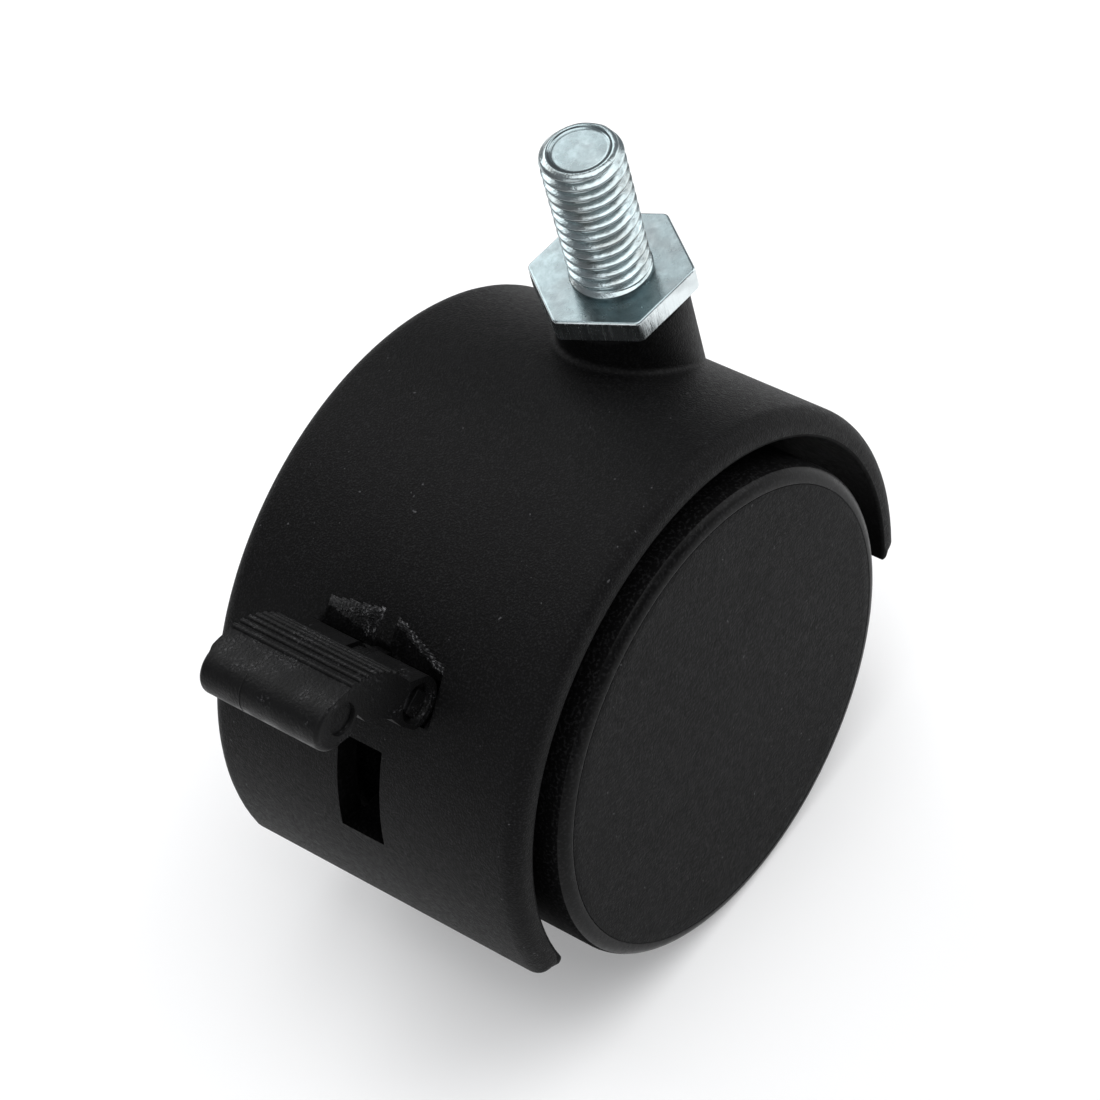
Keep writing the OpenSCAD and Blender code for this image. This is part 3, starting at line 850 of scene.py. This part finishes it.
def pedal_outline():
    points = arc((0, 0), KNUCKLE_R, -120, 40, 24)
    points += back_with_ribs()
    points += arc(NOSE, NOSE_R, 96, 262, 20)
    hollow = [(1.3, -2.5), (2.5, -1.2)]
    points += [(NOSE[0] + x * MM, NOSE[1] + z * MM) for x, z in hollow]
    points += [(x * MM, z * MM) for x, z in ((-5.9, 4.4), (-4.4, 3.1), (-3.2, 1.5), (-2.5, -0.4))]
    return points


def round_nose_ends(body, width):
    """Rounds the rim of both ends of the pedal's nose, and leaves its other edges sharp."""
    work = bmesh.new()
    work.from_mesh(body.data)
    reach = NOSE_R + 0.02 * MM
    middle = Vector((PIVOT.x + NOSE[0], PIVOT.z + NOSE[1]))
    rim = []
    for edge in work.edges:
        ends = [(Vector((v.co.x, v.co.z)) - middle).length < reach for v in edge.verts]
        if all(ends) and edge.verts[0].co.y == edge.verts[1].co.y:
            rim.append(edge)
    bmesh.ops.bevel(work, geom=rim, offset=width, segments=4, profile=0.5, affect="EDGES")
    work.to_mesh(body.data)
    work.free()
    body.data.shade_smooth()


def round_hole(radius, middle=(0.0, 0.0)):
    """Outline of a round hole, as 48 points."""
    return arc(middle, radius, 0, 352.5, 47)


def side_hole(body, outline, depth):
    """Sinks the same hole into both ends of the pedal."""
    for side in (-1, 1):
        y0, y1 = sorted((side * (PEDAL_Y - depth), side * (PEDAL_Y + 1 * MM)))
        cut(body, prism_y("hole_tool", outline, y0, y1, PEDAL, "brake"))


def brake_pedal():
    """Ribbed pedal with recessed ends and two cams behind its knuckles."""
    body = prism_y("pedal_body", pedal_outline(), -PEDAL_Y, PEDAL_Y, PEDAL, "brake",
                   ["brake_pedal"])
    gap = 1.15 * MM
    round_nose_ends(body, 0.55 * MM)
    cut(body, prism_y("gap_tool", round_hole(KNUCKLE_R + 0.05 * MM), -gap, gap, PEDAL, "brake"))
    side_hole(body, round_hole(2.0 * MM), 1.0 * MM)
    side_hole(body, round_hole(1.6 * MM, (NOSE[0] + NOSE_SHIFT, NOSE[1])), 0.4 * MM)
    bevel(body, 0.13 * MM, 2, 40)
    seam = arc(NOSE, NOSE_R + 0.035 * MM, 100, 258, 20)
    seam += arc(NOSE, NOSE_R - 0.3 * MM, 258, 100, 20)
    prism_y("pedal_parting_line", seam, 2.0 * MM, 2.14 * MM, PEDAL, "brake")

    tip = polar(CAM_LENGTH - CAM_R, CAM_REST)
    outline = arc(tip, CAM_R, CAM_REST - 90, CAM_REST + 90, 16)
    outline += [polar(CAM_R, CAM_REST + 90), polar(CAM_R, CAM_REST - 90)]
    for name, side in (("right", -1), ("left", 1)):
        y0, y1 = sorted(side * y for y in CAM_Y)
        cam = prism_y("pedal_cam_" + name, outline, y0, y1, PEDAL, "brake")
        bevel(cam, 0.12 * MM, 2, 40)


def pivot_pin():
    """Pin through the pedal's knuckles, with slightly domed ends."""
    r, y = size("brake_pivot_pin").x / 2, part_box("brake_pivot_pin")[1].y
    profile = [(0.0, -y), (0.8 * r, 0.08 * MM - y), (r, 0.3 * MM - y)]
    profile += [(a, -b) for a, b in profile[::-1]]
    profile = [(max(a, NEAR_AXIS), b) for a, b in profile]
    lathe_y("pivot_pin", profile, DARK_STEEL, "housing", ["brake_pivot_pin"],
            middle=PIVOT, steps=48, closed=False)


# ---------------------------------------------------------------- inner pieces kept from the CAD

KEPT = {
    "swivel_sleeve": SLEEVE_STEEL, "axle": AXLE_STEEL, "thrust_washer": ACETAL,
    "stem_snap_ring": DARK_STEEL,
    "left_axle_washer": ACETAL, "right_axle_washer": ACETAL, "left_axle_clip": DARK_STEEL,
    "right_axle_clip": DARK_STEEL, "left_wheel_core": CORE, "right_wheel_core": CORE,
    "left_hub_bush": ACETAL, "right_hub_bush": ACETAL,
}


def dress_kept_nodes():
    for name, material in KEPT.items():
        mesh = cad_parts[name].data
        mesh.materials.clear()
        mesh.materials.append(material)


# ---------------------------------------------------------------- studio


def floor():
    z = AXLE.z - WHEEL_R - 0.05 * MM
    half = 3.0
    corners = ((-half, -half), (half, -half), (half, half), (-half, half))
    mesh = bpy.data.meshes.new("floor")
    mesh.from_pydata([(x, y, z) for x, y in corners], [], [(0, 1, 2, 3)])
    mesh.materials.append(floor_material())
    obj = bpy.data.objects.new("floor", mesh)
    bpy.context.scene.collection.objects.link(obj)


def softbox(name, azimuth, elevation, distance, width, height, power, colour=(1.0, 1.0, 1.0)):
    """Area light that looks at the middle of the caster."""
    target = Vector((AXLE.x, 0, AXLE.z))
    a, e = math.radians(azimuth), math.radians(elevation)
    direction = Vector((math.sin(a) * math.cos(e), -math.cos(a) * math.cos(e), math.sin(e)))
    data = bpy.data.lights.new(name, "AREA")
    data.shape = "RECTANGLE"
    data.size, data.size_y = width, height
    data.energy = power
    data.color = colour
    obj = bpy.data.objects.new(name, data)
    obj.location = target + direction * distance
    obj.rotation_euler = direction.to_track_quat("Z", "Y").to_euler()
    bpy.context.scene.collection.objects.link(obj)


def lights():
    softbox("top_softbox", 20, 78, 0.9, 0.9, 0.9, 6.3)
    softbox("back_softbox", 165, 35, 0.9, 0.8, 0.5, 3.6)
    softbox("right_softbox", 60, 25, 0.8, 0.5, 0.6, 2.2)
    softbox("left_fill", -80, 30, 0.9, 0.6, 0.6, 1.2)
    world = bpy.data.worlds.new("studio")
    bpy.context.scene.world = world
    world.use_nodes = True
    background = world.node_tree.nodes["Background"]
    background.inputs["Color"].default_value = (0.93, 0.95, 1.0, 1.0)
    background.inputs["Strength"].default_value = 0.30


def camera():
    """The photograph's view: from the brake's side, well above, with the frame rolled."""
    azimuth, elevation, roll = (math.radians(a) for a in (-39.78, 48.85, -17.18))
    distance, across, up = 360.6 * MM, 1.27 * MM, -8.47 * MM
    back = Vector((
        math.sin(azimuth) * math.cos(elevation), -math.cos(azimuth) * math.cos(elevation),
        math.sin(elevation),
    ))
    level = Vector((math.cos(azimuth), math.sin(azimuth), 0))
    upright = back.cross(level)
    right = math.cos(roll) * level + math.sin(roll) * upright
    above = -math.sin(roll) * level + math.cos(roll) * upright
    data = bpy.data.cameras.new("camera")
    data.sensor_width = 36.0
    data.lens = 122.0
    data.clip_start = 0.01
    obj = bpy.data.objects.new("camera", data)
    place = AXLE + distance * back - across * right - up * above
    turn = Matrix((right, above, back)).transposed().to_4x4()
    obj.matrix_world = Matrix.Translation(place) @ turn
    bpy.context.scene.collection.objects.link(obj)
    bpy.context.scene.camera = obj


# ---------------------------------------------------------------- the whole scene

camera()
hood_shell()
neck()
centre_web()
pivot_ear()
wheel(1)
wheel(-1)
threaded_stem()
brake_pedal()
pivot_pin()
dress_kept_nodes()
floor()
lights()
scene = bpy.context.scene
scene.view_settings.view_transform = "Standard"
scene.view_settings.look = "None"
